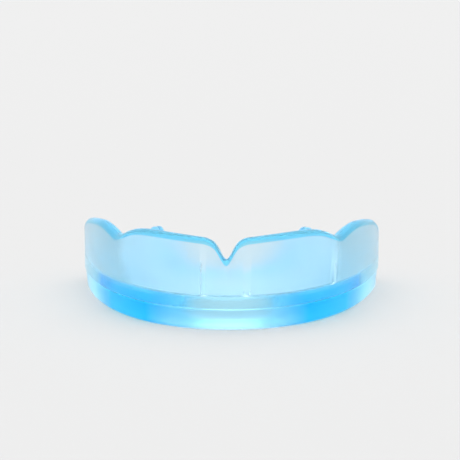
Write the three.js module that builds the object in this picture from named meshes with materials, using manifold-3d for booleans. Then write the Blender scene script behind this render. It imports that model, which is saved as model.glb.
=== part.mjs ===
// A boil-and-bite mouthguard in three moulded layers, in millimetres, +Z up.
// The front teeth's side faces -Y, the open ends face +Y, and it rests on its flat bite face at Z = 0.
import * as THREE from "three";
import { mergeVertices } from "three/addons/utils/BufferGeometryUtils.js";
import Module from "manifold-3d";

// Plan of the arch
const WIDTH = 62; // across the widest point of the molar walls
const DEPTH = 46; // from the front face to the ends of the legs
const STRAIGHT_FROM = 38; // depth where a leg stops curving
const LIP_FLAT = 17; // pull of the curve along the flat front
const CHEEK_PULL = [27.7, 16]; // pull of the curve at the cheek: from the middle, and depth
const TOE_IN = 0.2; // how far a leg's end turns in from the widest point
const END_ROUND = 6; // length of the rounded end of a leg
const END_SPARE = 2; // the gutter runs on this far past the ends, and the trim takes it off
const TRIM_CLEAR = 0.1; // the trim clears a leg's straight sides by this much
const STEPS = 60; // stations along the whole arch

// Section across the arch, at the front teeth
const SECTION_WIDTH = 13; // from the lip face to the tongue face
const RIM_UP = 20; // walls are drawn to this height, then lowered to the rim
const PARTING_Z = 4.2; // line between the bite base and the tray
const GAP = 0.3; // clearance between neighbouring layers
const BASE_DRAFT = 0.35; // how far the base leans in towards its bottom
const BASE_EDGE_R = 0.8;
const TRAY_WALL = 1.3;
const TRAY_FLOOR = 0.7;
const TRAY_RIM_R = 1.1;
const LINER_WALL = 1.6; // at the channel floor
const LINER_RIM_WALL = 0.7; // thins to this at the rim
const LINER_FLOOR = 0.75;
const LINER_RIM_R = 0.5;
const LINER_RIM_DROP = 0.3; // the liner stops short of the tray's rim
const WALL_SPLIT_Z = 12; // section points above this belong to a rim

// Along the arch: distance from the front middle, and the value there
const ARCH_WIDTHS = [[0, 13], [20, 14], [40, 16.4], [50, 16.6], [65, 16.6]];
const LIP_RIM = [
  [0, 17.6], [5, 18], [10, 18.35], [16.5, 18.5], [20, 18.15], [22.5, 17.45], [25, 16.45], [27, 16],
  [29, 16.55], [31.5, 17.15], [35, 17.42], [39, 17.05], [42.5, 16.5], [47, 15.5], [54, 12.6], [58, 10],
  [65, 6.9],
];
const TONGUE_RIM = [
  [0, 7.9], [14, 8.1], [26, 9.1], [36, 10.7], [46, 12.5], [50, 12.9], [54, 12.3], [58, 10.2], [65, 6.9],
];

// Notch for the lip's frenum, in the middle of the front wall
const NOTCH_BOTTOM_Z = 13.8;
const NOTCH_TIP_R = 0.6;
const NOTCH_LIP_Z = 17.8;
const NOTCH_SAG = 0.45; // how far its shoulders dip before they turn down
const NOTCH_HALF_WIDTH = 4;
const NOTCH_REACH = 5; // runs through the front wall only

// Ribs moulded on the liner's lip wall: distance from the front middle, top height and width
const RIBS = [[-4.9, 13, 1.2], [4.2, 7.4, 1.4], [27, 10.5, 1.3]];
const RIB_PROUD = 0.6;

// Clear blue EVA: the thick base looks deepest, the hazy liner palest
const BASE_FINISH = { color: 0x55b8f4, roughness: 0.35, metalness: 0 };
const TRAY_FINISH = { color: 0xb9dff6, roughness: 0.3, metalness: 0 };
const LINER_FINISH = { color: 0xd4ebf8, roughness: 0.45, metalness: 0 };

const HALF = WIDTH / 2;
const FRONT_Y = -DEPTH / 2;
const BACK_Y = DEPTH / 2;

const wasm = await Module();
wasm.setup();

const archCurve = outerArch();
const ARCH_LENGTH = archCurve.getLength();

// The arch's outer line from the left end, round the front, to the right end.
function outerArch() {
  const end = new THREE.Vector2(HALF - TOE_IN, BACK_Y + END_SPARE);
  const wide = new THREE.Vector2(HALF, FRONT_Y + STRAIGHT_FROM);
  const cheek = new THREE.Vector2(CHEEK_PULL[0], FRONT_Y + CHEEK_PULL[1]);
  const lip = new THREE.Vector2(LIP_FLAT, FRONT_Y);
  const front = new THREE.Vector2(0, FRONT_Y);
  const mirrored = (point) => new THREE.Vector2(-point.x, point.y);
  const path = new THREE.CurvePath();
  path.add(new THREE.LineCurve(mirrored(end), mirrored(wide)));
  path.add(new THREE.CubicBezierCurve(mirrored(wide), mirrored(cheek), mirrored(lip), front));
  path.add(new THREE.CubicBezierCurve(front, lip, cheek, wide));
  path.add(new THREE.LineCurve(wide, end));
  return path;
}

// A smooth value along the arch, through its stations.
function along(stations) {
  const distances = stations.map((station) => station[0]);
  const values = stations.map((station) => station[1]);
  const spline = new THREE.CubicInterpolant(distances, values, 1, new Float32Array(1));
  return (distance) => spline.evaluate(Math.abs(distance))[0];
}
const archWidth = along(ARCH_WIDTHS);
const lipRim = along(LIP_RIM);
const tongueRim = along(TONGUE_RIM);

// A point on the arch, a signed distance from the front middle, set inwards by inset.
function onArch(distance, inset) {
  const share = distance / ARCH_LENGTH + 0.5;
  const point = archCurve.getPoint(share);
  const tangent = archCurve.getTangent(share);
  return new THREE.Vector2(point.x - tangent.y * inset, point.y + tangent.x * inset);
}

// Extrudes a section as a straight gutter, then bends the gutter round the arch.
// In the section x runs inwards from the lip face and y runs up.
function layer(section) {
  const gutter = new THREE.ExtrudeGeometry(section, {
    depth: 1,
    steps: STEPS,
    bevelEnabled: false,
    curveSegments: 2,
  });
  const points = gutter.attributes.position;
  for (let i = 0; i < points.count; i++) {
    const distance = (points.getZ(i) - 0.5) * ARCH_LENGTH;
    const onTongueSide = points.getX(i) > SECTION_WIDTH / 2;
    const onRim = points.getY(i) > WALL_SPLIT_Z;
    const rim = onTongueSide ? tongueRim(distance) : lipRim(distance);
    const inset = points.getX(i) + (onTongueSide ? archWidth(distance) - SECTION_WIDTH : 0);
    const height = points.getY(i) + (onRim ? rim - RIM_UP : 0);
    const place = onArch(distance, inset);
    points.setXYZ(i, place.x, place.y, height);
  }
  return solidOf(gutter);
}

// A closed geometry as a manifold-3d solid.
function solidOf(geometry) {
  geometry.deleteAttribute("normal");
  geometry.deleteAttribute("uv");
  const merged = mergeVertices(geometry, 1e-4);
  const mesh = new wasm.Mesh({
    numProp: 3,
    vertProperties: merged.attributes.position.array,
    triVerts: new Uint32Array(merged.index.array),
  });
  return new wasm.Manifold(mesh);
}

// A named mesh from a solid, with its layer's finish.
function meshOf(name, solid, finish) {
  const { vertProperties, triVerts } = solid.getMesh();
  const geometry = new THREE.BufferGeometry();
  geometry.setAttribute("position", new THREE.BufferAttribute(vertProperties, 3));
  geometry.setIndex(new THREE.BufferAttribute(triVerts, 1));
  geometry.computeVertexNormals();
  const mesh = new THREE.Mesh(geometry, new THREE.MeshStandardMaterial(finish));
  mesh.name = name;
  return mesh;
}

// The slab that the wearer bites on, with drafted sides and rounded bottom edges.
function baseSection() {
  const top = PARTING_Z - GAP / 2;
  const left = GAP / 2 + BASE_DRAFT;
  const right = SECTION_WIDTH - left;
  const shape = new THREE.Shape();
  shape.moveTo(GAP / 2, top);
  shape.lineTo(left, BASE_EDGE_R);
  shape.absarc(left + BASE_EDGE_R, BASE_EDGE_R, BASE_EDGE_R, Math.PI, 1.5 * Math.PI);
  shape.lineTo(right - BASE_EDGE_R, 0);
  shape.absarc(right - BASE_EDGE_R, BASE_EDGE_R, BASE_EDGE_R, 1.5 * Math.PI, 2 * Math.PI);
  shape.lineTo(SECTION_WIDTH - GAP / 2, top);
  return shape;
}

// The firm tray: a thin floor between two walls whose outer rims are rounded.
function traySection() {
  const bottom = PARTING_Z + GAP / 2;
  const floor = bottom + TRAY_FLOOR;
  const roundFrom = RIM_UP - TRAY_RIM_R;
  const shape = new THREE.Shape();
  shape.moveTo(0, bottom);
  shape.lineTo(SECTION_WIDTH, bottom);
  shape.lineTo(SECTION_WIDTH, roundFrom);
  shape.absarc(SECTION_WIDTH - TRAY_RIM_R, roundFrom, TRAY_RIM_R, 0, Math.PI / 2);
  shape.lineTo(SECTION_WIDTH - TRAY_WALL, RIM_UP);
  shape.lineTo(SECTION_WIDTH - TRAY_WALL, floor);
  shape.lineTo(TRAY_WALL, floor);
  shape.lineTo(TRAY_WALL, RIM_UP);
  shape.lineTo(TRAY_RIM_R, RIM_UP);
  shape.absarc(TRAY_RIM_R, roundFrom, TRAY_RIM_R, Math.PI / 2, Math.PI);
  return shape;
}

// The soft lining inside the tray, which takes the shape of the teeth.
function linerSection() {
  const bottom = PARTING_Z + GAP / 2 + TRAY_FLOOR + GAP;
  const floor = bottom + LINER_FLOOR;
  const left = TRAY_WALL + GAP;
  const right = SECTION_WIDTH - left;
  const rim = RIM_UP - LINER_RIM_DROP;
  const roundFrom = rim - LINER_RIM_R;
  const rimLeft = left + LINER_RIM_WALL;
  const rimRight = right - LINER_RIM_WALL;
  const shape = new THREE.Shape();
  shape.moveTo(left, bottom);
  shape.lineTo(right, bottom);
  shape.lineTo(right, rim);
  shape.lineTo(rimRight + LINER_RIM_R, rim);
  shape.absarc(rimRight + LINER_RIM_R, roundFrom, LINER_RIM_R, Math.PI / 2, Math.PI);
  shape.lineTo(right - LINER_WALL, floor);
  shape.lineTo(left + LINER_WALL, floor);
  shape.lineTo(rimLeft, roundFrom);
  shape.absarc(rimLeft - LINER_RIM_R, roundFrom, LINER_RIM_R, 0, Math.PI / 2);
  shape.lineTo(left, rim);
  return shape;
}

// The outline that all layers are trimmed to from above, which rounds the leg ends.
function planTrim() {
  const endWidth = archWidth(ARCH_LENGTH / 2);
  const legX = HALF - TOE_IN - endWidth / 2;
  const halfWidth = endWidth / 2 + TRIM_CLEAR;
  const roundFrom = BACK_Y - END_ROUND;
  const shape = new THREE.Shape();
  shape.moveTo(-HALF - 1, FRONT_Y - 1);
  shape.lineTo(HALF + 1, FRONT_Y - 1);
  shape.lineTo(HALF + 1, roundFrom);
  shape.absellipse(legX, roundFrom, halfWidth, END_ROUND, 0, Math.PI);
  shape.absellipse(-legX, roundFrom, halfWidth, END_ROUND, 0, Math.PI);
  shape.lineTo(-HALF - 1, roundFrom);
  const prism = new THREE.ExtrudeGeometry(shape, {
    depth: RIM_UP + 2,
    bevelEnabled: false,
    curveSegments: 10,
  });
  prism.translate(0, 0, -1);
  return solidOf(prism);
}

// A V with a rounded tip and easy shoulders, cut from front to back through the lip wall.
function notchCutter() {
  const tipZ = NOTCH_BOTTOM_Z + NOTCH_TIP_R;
  const shoulder = NOTCH_HALF_WIDTH / 2;
  const shape = new THREE.Shape();
  shape.moveTo(-NOTCH_HALF_WIDTH, RIM_UP);
  shape.lineTo(-NOTCH_HALF_WIDTH, NOTCH_LIP_Z);
  shape.quadraticCurveTo(-shoulder, NOTCH_LIP_Z - NOTCH_SAG, -NOTCH_TIP_R, tipZ);
  shape.absarc(0, tipZ, NOTCH_TIP_R, Math.PI, 2 * Math.PI);
  shape.quadraticCurveTo(shoulder, NOTCH_LIP_Z - NOTCH_SAG, NOTCH_HALF_WIDTH, NOTCH_LIP_Z);
  shape.lineTo(NOTCH_HALF_WIDTH, RIM_UP);
  const prism = new THREE.ExtrudeGeometry(shape, {
    depth: NOTCH_REACH + 1,
    bevelEnabled: false,
    curveSegments: 6,
  });
  prism.rotateX(Math.PI / 2);
  prism.translate(0, FRONT_Y + NOTCH_REACH, 0);
  return solidOf(prism);
}

// A short upright rib that stands out of the liner's lip wall into the channel.
function rib([distance, topZ, width]) {
  const wallFace = TRAY_WALL + GAP + LINER_WALL;
  const bottom = PARTING_Z + GAP / 2 + TRAY_FLOOR + GAP + LINER_FLOOR / 2;
  const thickness = RIB_PROUD + LINER_WALL / 2;
  const bar = new THREE.BoxGeometry(width, thickness, topZ - bottom);
  const foot = onArch(distance, wallFace + RIB_PROUD - thickness / 2);
  const outer = onArch(distance, 0);
  bar.rotateZ(Math.atan2(foot.y - outer.y, foot.x - outer.x) - Math.PI / 2);
  bar.translate(foot.x, foot.y, (topZ + bottom) / 2);
  return solidOf(bar);
}

const trim = planTrim();
const notch = notchCutter();

const biteBase = layer(baseSection()).intersect(trim);
const outerTray = layer(traySection()).intersect(trim).subtract(notch);
let fitLiner = layer(linerSection()).intersect(trim).subtract(notch);
for (const size of RIBS) fitLiner = fitLiner.add(rib(size));

const mouthguard = new THREE.Group();
mouthguard.add(meshOf("bite_base", biteBase, BASE_FINISH));
mouthguard.add(meshOf("outer_tray", outerTray, TRAY_FINISH));
mouthguard.add(meshOf("fit_liner", fitLiner, LINER_FINISH));

export default mouthguard;
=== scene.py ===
# A boil-and-bite mouthguard in clear blue EVA: bite base, outer tray and fitting liner.
# Each layer is drawn out as a straight gutter, shaped station by station, then bent round the arch.
import bisect
import math

import bmesh
import bpy
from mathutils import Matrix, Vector


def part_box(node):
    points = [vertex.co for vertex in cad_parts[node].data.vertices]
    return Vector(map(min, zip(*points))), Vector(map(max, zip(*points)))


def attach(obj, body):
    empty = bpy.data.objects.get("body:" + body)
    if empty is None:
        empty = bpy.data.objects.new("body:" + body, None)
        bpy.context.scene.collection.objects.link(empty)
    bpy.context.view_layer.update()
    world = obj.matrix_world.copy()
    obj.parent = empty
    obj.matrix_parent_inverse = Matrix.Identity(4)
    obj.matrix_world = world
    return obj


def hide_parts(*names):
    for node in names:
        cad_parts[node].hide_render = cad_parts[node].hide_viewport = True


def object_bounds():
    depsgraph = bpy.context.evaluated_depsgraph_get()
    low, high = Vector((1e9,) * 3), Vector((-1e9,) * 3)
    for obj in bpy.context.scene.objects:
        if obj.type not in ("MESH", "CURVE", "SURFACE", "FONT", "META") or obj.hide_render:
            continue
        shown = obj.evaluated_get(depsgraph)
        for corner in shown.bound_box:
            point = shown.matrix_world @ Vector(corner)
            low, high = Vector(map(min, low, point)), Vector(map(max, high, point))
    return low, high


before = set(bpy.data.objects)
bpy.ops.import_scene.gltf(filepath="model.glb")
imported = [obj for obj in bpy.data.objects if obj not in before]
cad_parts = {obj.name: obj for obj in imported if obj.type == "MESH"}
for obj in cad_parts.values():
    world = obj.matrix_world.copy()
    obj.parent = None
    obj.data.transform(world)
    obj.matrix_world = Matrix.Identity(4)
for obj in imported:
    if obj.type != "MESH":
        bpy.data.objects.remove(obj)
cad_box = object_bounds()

MM = 0.001

# Plan of the arch
HALF_WIDTH = cad_box[1][0]
FRONT_Y = cad_box[0][1]
BACK_Y = cad_box[1][1]
STRAIGHT_FROM = 38 * MM  # depth where a leg stops curving, at the widest point
WIDE_EASE = 4 * MM  # an easy bend reaches this far to each side of the widest point
WIDE_SPARE = 0.15 * MM  # the easy bend takes this much off the width
EASE_PULL = 0.6  # pull of the easy bend's handles, as a share of its reach
TOE_IN = 0.2 * MM
CHEEK_OUT = 27.7 * MM
CHEEK_DEPTH = 16 * MM
LIP_FLAT = 17 * MM
END_ROUND = 6 * MM
END_SPARE = 0.6 * MM
CURVE_STEPS = 64

# Section across the arch at the front teeth; v runs inwards from the lip face
SECTION_WIDTH = 13 * MM
MIDDLE_V = SECTION_WIDTH / 2
ACROSS, UP = 1, 2  # the axes of v and of height
PARTING_Z = (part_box("bite_base")[1][2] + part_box("outer_tray")[0][2]) / 2
TOUCH = 0.01 * MM  # places closer than this are the same
BOND = 0.02 * MM  # half of the bond line between two layers
BASE_INSET = 0.2 * MM
BASE_DRAFT = 0.4 * MM  # how far the base leans in towards its bottom
BASE_EDGE_R = 0.9 * MM
BASE_TOP_R = 0.2 * MM
TRAY_WALL = 1.3 * MM
TRAY_FLOOR_Z = PARTING_Z + 0.8 * MM
TRAY_EDGE_R = 0.25 * MM
TRAY_RIM_R = 1.1 * MM
LINER_WALL = 1.9 * MM  # at the channel floor
LINER_THINS = 0.9 * MM  # how much thinner the wall is at a full rim
LINER_FLOOR_Z = 6.1 * MM
LINER_RIM_R = 0.85 * MM
LINER_RIM_DROP = 0.12 * MM  # the liner stops short of the tray's rim
FILLET_R = 0.6 * MM
DRAWN_RIM_Z = LINER_FLOOR_Z + 4 * MM  # walls are drawn to this height, then moved to the rim
FULL_RIM_Z = 18.5 * MM
WALL_SPLIT_Z = LINER_FLOOR_Z + 2 * MM  # section points above this belong to a rim
INSIDE_V = TRAY_WALL + 0.1 * MM  # section points deeper than this belong to the channel's side
LOW_FRONT_V = 1.2 * MM
CREASE_ANGLE = math.radians(40)

# Along the arch: distance from the front middle, and the value there
ARCH_WIDTHS = [(0, 13), (20, 14), (40, 16.4), (50, 16.6), (65, 16.6)]
LIP_RIM = [
    (0, 17.6), (5, 18), (10, 18.35), (16.5, 18.5), (20, 18.15), (22.5, 17.45), (25, 16.45), (27, 16),
    (29, 16.55), (31.5, 17.15), (35, 17.42), (39, 17.05), (42.5, 16.5), (47, 15.5), (54, 12.6), (58, 10),
    (65, 6.6),
]
TONGUE_RIM = [
    (0, 7.9), (14, 8.1), (26, 9.1), (36, 10.7), (46, 12.5), (50, 12.9), (54, 12.3), (58, 10.2), (65, 6.6),
]
NOTCH = [(0, 3.8), (0.35, 3.6), (0.9, 2.85), (1.6, 1.6), (2.4, 0.65), (3.3, 0.2), (4.6, 0), (70, 0)]

# Ribs on the liner's lip wall: distance from the front middle, top height and width
RIBS = [(-4.9, 13, 1.2), (4.2, 7.4, 1.4), (26.2, 10.5, 1.3)]
RIB_PROUD = 0.55 * MM
RIB_TAPER = 0.8


def add_camera():
    """A long lens a little right of the front and above it, aimed at the middle of the walls."""
    azimuth = math.radians(1.53)
    elevation = math.radians(13.88)
    distance = 350 * MM
    lens_mm = 134.9
    aim = Vector((0.1, 0, 15)) * MM
    level = distance * math.cos(elevation)
    place = Vector((math.sin(azimuth) * level, -math.cos(azimuth) * level, distance * math.sin(elevation)))
    bpy.ops.object.camera_add(location=place)
    camera = bpy.context.object
    camera.rotation_euler = (aim - place).to_track_quat("-Z", "Y").to_euler()
    camera.data.lens = lens_mm
    bpy.context.scene.camera = camera


add_camera()


# ---------- values along the arch ----------

def smooth(stations, distance):
    """A smooth value at a distance along the arch, through its stations, in the stations' unit."""
    distance = abs(distance)
    last = len(stations) - 1
    i = max(k for k in range(last) if stations[k][0] <= distance)

    def slope(k):
        if k in (0, last):
            return 0
        before, after = stations[k - 1], stations[k + 1]
        return (after[1] - before[1]) / (after[0] - before[0])

    (x0, y0), (x1, y1) = stations[i], stations[i + 1]
    span = x1 - x0
    t = (distance - x0) / span
    rise = y0 * (1 + 2 * t) * (1 - t) ** 2 + y1 * t * t * (3 - 2 * t)
    return rise + span * t * (1 - t) * (slope(i) * (1 - t) - slope(i + 1) * t)


def lip_rim(distance):
    """Height of the lip and cheek wall, with the notch for the lip's frenum in the middle."""
    return (smooth(LIP_RIM, distance) - smooth(NOTCH, distance)) * MM


def tongue_rim(distance):
    return smooth(TONGUE_RIM, distance) * MM


def arch_width(distance):
    return smooth(ARCH_WIDTHS, distance) * MM


# ---------- the arch curve and its stations ----------

def add_arch():
    """The arch's outer line from the left end, round the front, to the right end."""
    end = Vector((HALF_WIDTH - TOE_IN, BACK_Y + END_SPARE, 0))
    wide = Vector((HALF_WIDTH + WIDE_SPARE, FRONT_Y + STRAIGHT_FROM, 0))
    cheek = Vector((CHEEK_OUT, FRONT_Y + CHEEK_DEPTH, 0))
    front = Vector((0, FRONT_Y, 0))
    lip = Vector((LIP_FLAT, FRONT_Y, 0))
    flip = Vector((-1, 1, 1))
    # The curve stops a little before the widest point, and an easy bend leads on to the leg
    share = 1 - WIDE_EASE / (3 * (wide - cheek).length)
    lip_pull = front.lerp(lip, share)
    corner_pull = lip.lerp(cheek, share)
    ease_in = lip_pull.lerp(corner_pull, share)
    ease_out = corner_pull.lerp(cheek.lerp(wide, share), share)
    before = ease_in.lerp(ease_out, share)
    turn_in = before + (ease_out - ease_in).normalized() * EASE_PULL * WIDE_EASE
    after = wide + (end - wide).normalized() * WIDE_EASE
    turn_out = after.lerp(wide, EASE_PULL)
    third = (after - end) / 3
    points = [
        ((end - third) * flip, end * flip, (end + third) * flip),
        ((after - third) * flip, after * flip, turn_out * flip),
        (turn_in * flip, before * flip, ease_in * flip),
        (lip_pull * flip, front, lip_pull),
        (ease_in, before, turn_in),
        (turn_out, after, after - third),
        (end + third, end, end - third),
    ]
    bpy.ops.curve.primitive_bezier_curve_add()
    arch = bpy.context.object
    arch.name = "arch_line"
    arch.data.dimensions = "2D"
    arch.data.resolution_u = CURVE_STEPS
    spline = arch.data.splines[0]
    spline.bezier_points.add(len(points) - 2)
    for point, (before, place, after) in zip(spline.bezier_points, points):
        point.handle_left_type = point.handle_right_type = "FREE"
        point.handle_left = before
        point.co = place
        point.handle_right = after
    return arch


arch = add_arch()
ARCH_LENGTH = arch.data.splines[0].calc_length()


def place_stations():
    """Signed distances from the front middle: close at the notch and at the rounded ends."""
    half = ARCH_LENGTH / 2
    fine_step = 0.25 * MM
    fine_count = 24
    fine_to = fine_step * fine_count
    fine = [fine_step * k for k in range(fine_count)]
    coarse_count = 64
    coarse_step = (half - END_ROUND - fine_to) / coarse_count
    coarse = [fine_to + coarse_step * k for k in range(coarse_count)]
    turns = [math.radians(a) for a in (90, 80, 70, 60, 50, 41, 33, 26, 19, 13, 7.5, 3.5)]
    ends = [half - END_ROUND * (1 - math.cos(a)) for a in turns]
    right = fine + coarse + ends
    return [-s for s in reversed(right[1:])] + right


stations = place_stations()


def end_share(distance):
    """How much of its width a leg keeps near its rounded end."""
    left = ARCH_LENGTH / 2 - abs(distance)
    if left >= END_ROUND:
        return 1
    return math.sqrt(1 - (1 - left / END_ROUND) ** 2)


# ---------- hand tools ----------

def edit_mesh():
    mesh = bmesh.from_edit_mesh(bpy.context.object.data)
    mesh.verts.ensure_lookup_table()
    mesh.faces.ensure_lookup_table()
    return mesh


def pick_verts(wanted):
    """Selects the vertices whose places pass the test, and nothing else."""
    bpy.ops.mesh.select_all(action="DESELECT")
    bpy.ops.mesh.select_mode(type="VERT")
    mesh = edit_mesh()
    for vert in mesh.verts:
        vert.select = wanted(vert.co)
    mesh.select_flush(True)
    bmesh.update_edit_mesh(bpy.context.object.data)


def pick_faces(wanted):
    """Selects the faces that pass the test, and nothing else."""
    bpy.ops.mesh.select_all(action="DESELECT")
    bpy.ops.mesh.select_mode(type="FACE")
    mesh = edit_mesh()
    for face in mesh.faces:
        face.select = wanted(face)
    bmesh.update_edit_mesh(bpy.context.object.data)


def near(value, target):
    return abs(value - target) < TOUCH


def start_section(name, v_low, v_high, z_low, z_high):
    """An upright plane across the gutter's start, facing out of it, in edit mode."""
    bpy.ops.object.select_all(action="DESELECT")
    bpy.ops.mesh.primitive_plane_add(size=1, rotation=(0, -math.pi / 2, 0))
    bpy.context.object.name = name
    bpy.ops.object.transform_apply(rotation=True)
    bpy.ops.object.mode_set(mode="EDIT")
    bpy.ops.transform.resize(value=(1, v_high - v_low, z_high - z_low), center_override=(0, 0, 0))
    bpy.ops.transform.translate(value=(0, (v_low + v_high) / 2, (z_low + z_high) / 2))


def raise_walls(v_low, v_high, wall, floor_z, rim_z):
    """Cuts the floor strip at the walls' inner faces and extrudes both walls up from it."""
    for v in (v_low + wall, v_high - wall):
        bpy.ops.mesh.select_all(action="SELECT")
        bpy.ops.mesh.bisect(plane_co=(0, v, 0), plane_no=(0, 1, 0))
    for low, high in ((v_low, v_low + wall), (v_high - wall, v_high)):
        pick_verts(lambda co: near(co.z, floor_z) and low - BOND / 2 < co.y < high + BOND / 2)
        bpy.ops.mesh.extrude_region_move(TRANSFORM_OT_translate={"value": (0, 0, rim_z - floor_z)})
    bpy.ops.mesh.select_all(action="SELECT")
    bpy.ops.mesh.select_mode(type="FACE")
    bpy.ops.mesh.dissolve_faces()


def round_corner(v, z, radius, segments):
    """Rounds one corner of the section."""
    pick_verts(lambda co: near(co.y, v) and near(co.z, z))
    bpy.ops.mesh.bevel(offset=radius, segments=segments, profile=0.5, affect="VERTICES")


def draw_out():
    """Draws the section out along X into a straight gutter with a loop at every station."""
    bpy.ops.mesh.select_all(action="SELECT")
    bpy.ops.mesh.select_mode(type="FACE")
    for here, after in zip(stations, stations[1:]):
        bpy.ops.mesh.extrude_region_move(TRANSFORM_OT_translate={"value": (after - here, 0, 0)})
    bpy.ops.mesh.select_all(action="SELECT")
    bpy.ops.mesh.normals_make_consistent(inside=False)


def mark_bonds(planes):
    """Marks every face that lies on a bond to another layer; the rest are open."""
    mesh = edit_mesh()
    layer = mesh.faces.layers.float.new("open_face")
    for face in mesh.faces:
        centre = face.calc_center_median()
        bonded = any(near(centre[axis], place) and abs(face.normal[axis]) > 0.9 for axis, place in planes)
        face[layer] = 0 if bonded else 1
    bmesh.update_edit_mesh(bpy.context.object.data)


def mark_painted_shade(rim_from):
    """Marks the faces that take a painted deeper blue, painted shade: the rounded rims, from this height,
    and the low front.
    """
    mesh = edit_mesh()
    layer = mesh.faces.layers.float.new("painted_shade_face")
    for face in mesh.faces:
        centre = face.calc_center_median()
        low_front = centre.z < LINER_FLOOR_Z and centre.y < LOW_FRONT_V
        face[layer] = 1 if centre.z > rim_from or low_front else 0
    bmesh.update_edit_mesh(bpy.context.object.data)


def station_groups():
    """The gutter's vertex numbers, station by station."""
    groups = [[] for _ in stations]
    for vert in edit_mesh().verts:
        station = bisect.bisect(stations, stations[0] + vert.co.x + TOUCH / 2) - 1
        groups[station].append(vert.index)
    return groups


def pick_numbers(numbers, wanted):
    """Selects those of the numbered vertices whose places pass the test, and nothing else."""
    bpy.ops.mesh.select_all(action="DESELECT")
    mesh = edit_mesh()
    for number in numbers:
        vert = mesh.verts[number]
        vert.select = wanted(vert.co)


def set_rim(numbers, height, on_side):
    """Moves one wall's rim from its drawn height to this height."""
    pick_numbers(numbers, lambda co: on_side(co) and co.z > WALL_SPLIT_Z)
    if height >= DRAWN_RIM_Z:
        bpy.ops.transform.translate(value=(0, 0, height - DRAWN_RIM_Z))
    else:
        share = (height - LINER_FLOOR_Z) / (DRAWN_RIM_Z - LINER_FLOOR_Z)
        bpy.ops.transform.resize(value=(1, 1, share), center_override=(0, 0, LINER_FLOOR_Z))


def keep_thick(numbers, thins, height, on_side, inwards):
    """Gives back the part of a lining's thinning that a rim lower than the full one hasn't reached."""
    pick_numbers(numbers, lambda co: on_side(co) and co.z > WALL_SPLIT_Z
                 and INSIDE_V < co.y < SECTION_WIDTH - INSIDE_V)
    back = thins * (FULL_RIM_Z - height) / (FULL_RIM_Z - LINER_FLOOR_Z)
    bpy.ops.transform.translate(value=(0, inwards * back, 0))


def set_width(numbers, width, share):
    """Moves the tongue side out to the arch's width here, and narrows a station near a rounded end."""
    pick_numbers(numbers, lambda co: co.y > MIDDLE_V)
    bpy.ops.transform.translate(value=(0, width - SECTION_WIDTH, 0))
    if share < 1:
        pick_numbers(numbers, lambda co: True)
        bpy.ops.transform.resize(value=(1, share, 1), center_override=(0, width / 2, 0))


def shape_walls(thins=0):
    """Gives each station its wall heights; a lining's walls thin by this much over the full height."""
    bpy.ops.mesh.select_mode(type="VERT")
    sides = ((lip_rim, lambda co: co.y < MIDDLE_V, 1), (tongue_rim, lambda co: co.y > MIDDLE_V, -1))
    for numbers, s in zip(station_groups(), stations):
        for rim, on_side, inwards in sides:
            height = rim(s / MM)
            if thins:
                keep_thick(numbers, thins, height, on_side, inwards)
            set_rim(numbers, height, on_side)


def shape_widths():
    """Gives each station its width and, near the ends, its rounding."""
    bpy.ops.mesh.select_mode(type="VERT")
    for numbers, s in zip(station_groups(), stations):
        set_width(numbers, arch_width(s / MM), end_share(s))


def bend_round_arch():
    """Bends the straight gutter round the arch and leaves object mode."""
    bpy.ops.object.mode_set(mode="OBJECT")
    piece = bpy.context.object
    bend = piece.modifiers.new("bend", "CURVE")
    bend.object = arch
    bend.deform_axis = "POS_X"
    bpy.ops.object.modifier_apply(modifier=bend.name)
    bpy.ops.object.shade_smooth_by_angle(angle=CREASE_ANGLE)
    return piece


# ---------- the three layers ----------

def make_bite_base():
    low, high = BASE_INSET, SECTION_WIDTH - BASE_INSET
    top = PARTING_Z - BOND
    start_section("bite_base_moulding", low, high, 0, top)
    for v, lean in ((low, BASE_DRAFT), (high, -BASE_DRAFT)):
        pick_verts(lambda co: near(co.z, 0) and near(co.y, v))
        bpy.ops.transform.translate(value=(0, lean, 0))
        round_corner(v + lean, 0, BASE_EDGE_R, 7)
        round_corner(v, top, BASE_TOP_R, 3)
    draw_out()
    mark_bonds([(UP, top)])
    mark_painted_shade(FULL_RIM_Z)  # the base has no rim, so only its low front is marked
    shape_widths()
    return bend_round_arch()


def make_outer_tray():
    bottom = PARTING_Z + BOND
    start_section("outer_tray_moulding", 0, SECTION_WIDTH, bottom, TRAY_FLOOR_Z)
    raise_walls(0, SECTION_WIDTH, TRAY_WALL, TRAY_FLOOR_Z, DRAWN_RIM_Z)
    bpy.ops.mesh.bisect(plane_co=(0, 0, LINER_FLOOR_Z), plane_no=(0, 0, 1))
    for v in (0, SECTION_WIDTH):
        round_corner(v, bottom, TRAY_EDGE_R, 3)
        round_corner(v, DRAWN_RIM_Z, TRAY_RIM_R, 8)
    draw_out()
    mark_bonds([(UP, bottom), (UP, TRAY_FLOOR_Z), (ACROSS, TRAY_WALL), (ACROSS, SECTION_WIDTH - TRAY_WALL)])
    mark_painted_shade(DRAWN_RIM_Z - TRAY_RIM_R)
    shape_walls()
    shape_widths()
    return bend_round_arch()


def raise_rib(distance, top, width):
    """A small upright rib, extruded out of the liner's lip wall while the gutter is straight."""
    face_v = TRAY_WALL + LINER_WALL
    centre = distance * MM - stations[0]
    low, high = centre - width / 2 * MM, centre + width / 2 * MM

    def on_wall(face):
        place = face.calc_center_median()
        facing_in = face.normal.y > 0.2 and place.z > LINER_FLOOR_Z
        return facing_in and low < place.x < high and face_v - LINER_THINS < place.y < face_v + FILLET_R

    pick_faces(on_wall)
    bpy.ops.mesh.bisect(plane_co=(0, 0, top * MM), plane_no=(0, 0, 1))
    pick_faces(lambda face: on_wall(face) and face.calc_center_median().z < top * MM)
    bpy.ops.mesh.extrude_region_move(TRANSFORM_OT_translate={"value": (0, RIB_PROUD, 0)})
    bpy.ops.transform.resize(value=(RIB_TAPER, 1, 1), center_override=(centre, 0, 0))


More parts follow.
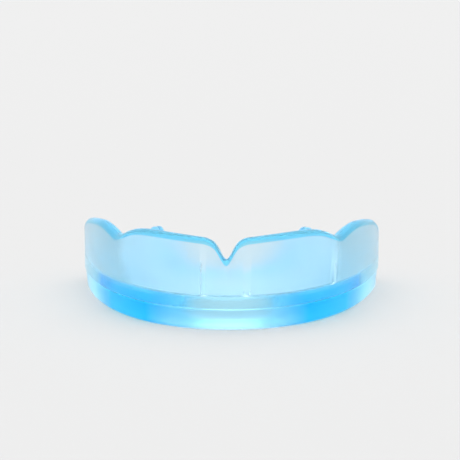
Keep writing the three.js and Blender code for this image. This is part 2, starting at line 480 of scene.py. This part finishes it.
def make_fit_liner():
    bottom = TRAY_FLOOR_Z + 2 * BOND
    low = TRAY_WALL + 2 * BOND
    high = SECTION_WIDTH - low
    wall = LINER_WALL - 2 * BOND
    rim = DRAWN_RIM_Z - LINER_RIM_DROP
    start_section("fit_liner_moulding", low, high, bottom, LINER_FLOOR_Z)
    raise_walls(low, high, wall, LINER_FLOOR_Z, rim)
    for v, thins in ((low + wall, -LINER_THINS), (high - wall, LINER_THINS)):
        pick_verts(lambda co: near(co.z, rim) and near(co.y, v))
        bpy.ops.transform.translate(value=(0, thins, 0))
        round_corner(v + thins, rim, LINER_RIM_R, 6)
        round_corner(v, LINER_FLOOR_Z, FILLET_R, 4)
    draw_out()
    mark_bonds([(UP, bottom), (ACROSS, low), (ACROSS, high)])
    mark_painted_shade(rim - LINER_RIM_R)
    shape_walls(LINER_THINS)
    shape_widths()
    for rib in RIBS:
        raise_rib(*rib)
    return bend_round_arch()


# ---------- materials ----------

def linear(code):
    """An sRGB hex value as linear colour with full alpha."""
    parts = [int(code[k:k + 2], 16) / 255 for k in (1, 3, 5)]
    return tuple(c / 12.92 if c <= 0.04045 else ((c + 0.055) / 1.055) ** 2.4 for c in parts) + (1,)


def node(tree, kind, settings=(), links=()):
    """Adds a node, sets its values by name and links its inputs."""
    made = tree.nodes.new(kind)
    for name, value in dict(settings).items():
        if name in made.inputs:
            made.inputs[name].default_value = value
        else:
            setattr(made, name, value)
    for name, socket in dict(links).items():
        tree.links.new(socket, made.inputs[name])
    return made


EVA_IOR = 1.49
SHEEN_TINT = "#60eeff"
PATCH_SIZE = 4 * MM  # of the satin patches that the mould leaves
PATCH_DEPTH = 0.07  # how far the patches' roughness goes to each side, as a share

# The legs stand behind these parts of the low front, so light comes through the most material there
# There the skin's second tint paints shade: a deeper blue that stands in for that long light path
CORNER_STARTS = (10 * MM, 16 * MM)
CORNER_ENDS = (23 * MM, 28 * MM)
CORNER_TOP_FADE = 0.1 * MM


def painted_shade_share(tree, places):
    """Where the skin takes its painted shade, a deeper blue: the marked rims, and the marked low front at
    the corners.
    """
    marked = node(tree, "ShaderNodeAttribute", {"attribute_name": "painted_shade_face"})
    place = node(tree, "ShaderNodeSeparateXYZ", {}, {"Vector": places.outputs["Object"]})
    side = node(tree, "ShaderNodeMath", {"operation": "ABSOLUTE"}, {"Value": place.outputs["X"]})
    starts = node(tree, "ShaderNodeMapRange",
                  {"interpolation_type": "SMOOTHSTEP",
                   "From Min": CORNER_STARTS[0], "From Max": CORNER_STARTS[1]},
                  {"Value": side.outputs["Value"]})
    corner = node(tree, "ShaderNodeMapRange",
                  {"interpolation_type": "SMOOTHSTEP",
                   "From Min": CORNER_ENDS[0], "From Max": CORNER_ENDS[1], "To Max": 0},
                  {"Value": side.outputs["Value"], "To Min": starts.outputs["Result"]})
    upper = node(tree, "ShaderNodeMapRange",
                 {"From Min": LINER_FLOOR_Z, "From Max": LINER_FLOOR_Z + CORNER_TOP_FADE, "To Max": 1},
                 {"Value": place.outputs["Z"], "To Min": corner.outputs["Result"]})
    share = node(tree, "ShaderNodeMath", {"operation": "MULTIPLY"}, {"Value": marked.outputs["Fac"]})
    tree.links.new(upper.outputs["Result"], share.inputs[1])
    return share


def clear_eva(name, tint, painted_shade_tint, absorbs, density, roughness, clear):
    """Clear EVA copolymer, injection moulded: soft satin skin, blue that deepens with thickness.

    The volume absorbs per metre what its colour lacks; the second tint is painted shade. Bonded faces are
    left out of the skin.
    """
    material = bpy.data.materials.new(name)
    material.use_nodes = True
    tree = material.node_tree
    tree.nodes.clear()
    places = node(tree, "ShaderNodeTexCoord")
    patches = node(tree, "ShaderNodeTexNoise", {"Scale": 1 / PATCH_SIZE, "Detail": 3},
                   {"Vector": places.outputs["Object"]})
    satin = node(tree, "ShaderNodeMapRange",
                 {"From Min": 0.3, "From Max": 0.7,
                  "To Min": roughness * (1 - PATCH_DEPTH), "To Max": roughness * (1 + PATCH_DEPTH)},
                 {"Value": patches.outputs["Fac"]})
    opened = node(tree, "ShaderNodeAttribute", {"attribute_name": "open_face"})
    # The ramp runs from the layer's own tint to a painted deeper blue, painted shade on the marked faces
    tint_with_painted_shade = node(tree, "ShaderNodeValToRGB", {}, {"Fac": painted_shade_share(tree, places).outputs["Value"]})
    tint_with_painted_shade.color_ramp.elements[0].color = linear(tint)
    tint_with_painted_shade.color_ramp.elements[1].color = linear(painted_shade_tint)
    skin = node(tree, "ShaderNodeBsdfPrincipled",
                {"IOR": EVA_IOR, "Transmission Weight": clear, "Specular Tint": linear(SHEEN_TINT)},
                {"Base Color": tint_with_painted_shade.outputs["Color"], "Roughness": satin.outputs["Result"],
                 "Alpha": opened.outputs["Fac"]})
    depth = node(tree, "ShaderNodeVolumeAbsorption", {"Color": linear(absorbs), "Density": density})
    node(tree, "ShaderNodeOutputMaterial", {},
         {"Surface": skin.outputs["BSDF"], "Volume": depth.outputs["Volume"]})
    return material


# Bite base: the thickest layer, of firm clear EVA tinted the deepest blue, with the deepest painted shade
# at its low front corners
base_eva = clear_eva(
    "eva_bite_base", tint="#f8fdff", painted_shade_tint="#20e0ff",
    absorbs="#00e2ff", density=58, roughness=0.3, clear=1)
# Outer tray: firm clear EVA, a little glossier and paler, with painted shade on its rims and low front
# corners
tray_eva = clear_eva(
    "eva_outer_tray", tint="#f8fdff", painted_shade_tint="#78e4ff",
    absorbs="#00e8ff", density=50, roughness=0.24, clear=1)
# Fitting liner: soft low-melt EVA, slightly milky and matt, with painted shade on its rims
liner_eva = clear_eva(
    "eva_fit_liner", tint="#f0f8ff", painted_shade_tint="#98e0ff",
    absorbs="#00e0ff", density=46, roughness=0.42, clear=0.83)

base_piece = make_bite_base()
tray_piece = make_outer_tray()
liner_piece = make_fit_liner()
for piece, material, cad_node, slot in (
    (base_piece, base_eva, "bite_base", "base_eva"),
    (tray_piece, tray_eva, "outer_tray", "tray_eva"),
    (liner_piece, liner_eva, "fit_liner", "liner_eva"),
):
    piece.data.materials.clear()
    piece.data.materials.append(material)
    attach(piece, "root")
    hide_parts(cad_node)
    piece.visible_shadow = False  # clear layers let the light through to the floor
bpy.data.objects.remove(arch)


# ---------- floor and light ----------

FLOOR_SIZE = 6
FLOOR_GAP = 0.02 * MM
TENT_SIDES = 1.1
TENT_TOP = 2.6
TENT_SHOULDER = 0.45  # height on the tent, 0 level and 1 overhead, where it starts to brighten
INNER_BOUNCES = 48  # light runs a long way inside the clear layers before it comes out


def add_floor():
    """A plain pale table top of matt card."""
    bpy.ops.object.select_all(action="DESELECT")
    bpy.ops.mesh.primitive_plane_add(size=FLOOR_SIZE, location=(0, 0, -FLOOR_GAP))
    floor = bpy.context.object
    floor.name = "table_top"
    card = bpy.data.materials.new("matt_white_card")
    card.use_nodes = True
    skin = card.node_tree.nodes["Principled BSDF"]
    skin.inputs["Base Color"].default_value = linear("#b5b5b5")
    skin.inputs["Roughness"].default_value = 0.9
    floor.data.materials.append(card)


def add_light():
    """An even white tent, brightest straight overhead where the soft box hangs."""
    world = bpy.data.worlds.new("white_tent")
    bpy.context.scene.world = world
    world.use_nodes = True
    tree = world.node_tree
    tree.nodes.clear()
    direction = node(tree, "ShaderNodeTexCoord")
    axes = node(tree, "ShaderNodeSeparateXYZ", {}, {"Vector": direction.outputs["Generated"]})
    overhead = node(tree, "ShaderNodeMapRange",
                    {"interpolation_type": "SMOOTHSTEP", "From Min": TENT_SHOULDER, "From Max": 1,
                     "To Min": TENT_SIDES, "To Max": TENT_TOP},
                    {"Value": axes.outputs["Z"]})
    light = node(tree, "ShaderNodeBackground", {"Color": (1, 1, 1, 1)},
                 {"Strength": overhead.outputs["Result"]})
    node(tree, "ShaderNodeOutputWorld", {}, {"Surface": light.outputs["Background"]})


add_floor()
add_light()
scene = bpy.context.scene
scene.view_settings.view_transform = "Standard"
scene.cycles.max_bounces = INNER_BOUNCES
scene.cycles.glossy_bounces = INNER_BOUNCES
scene.cycles.transmission_bounces = INNER_BOUNCES
scene.cycles.transparent_max_bounces = 64
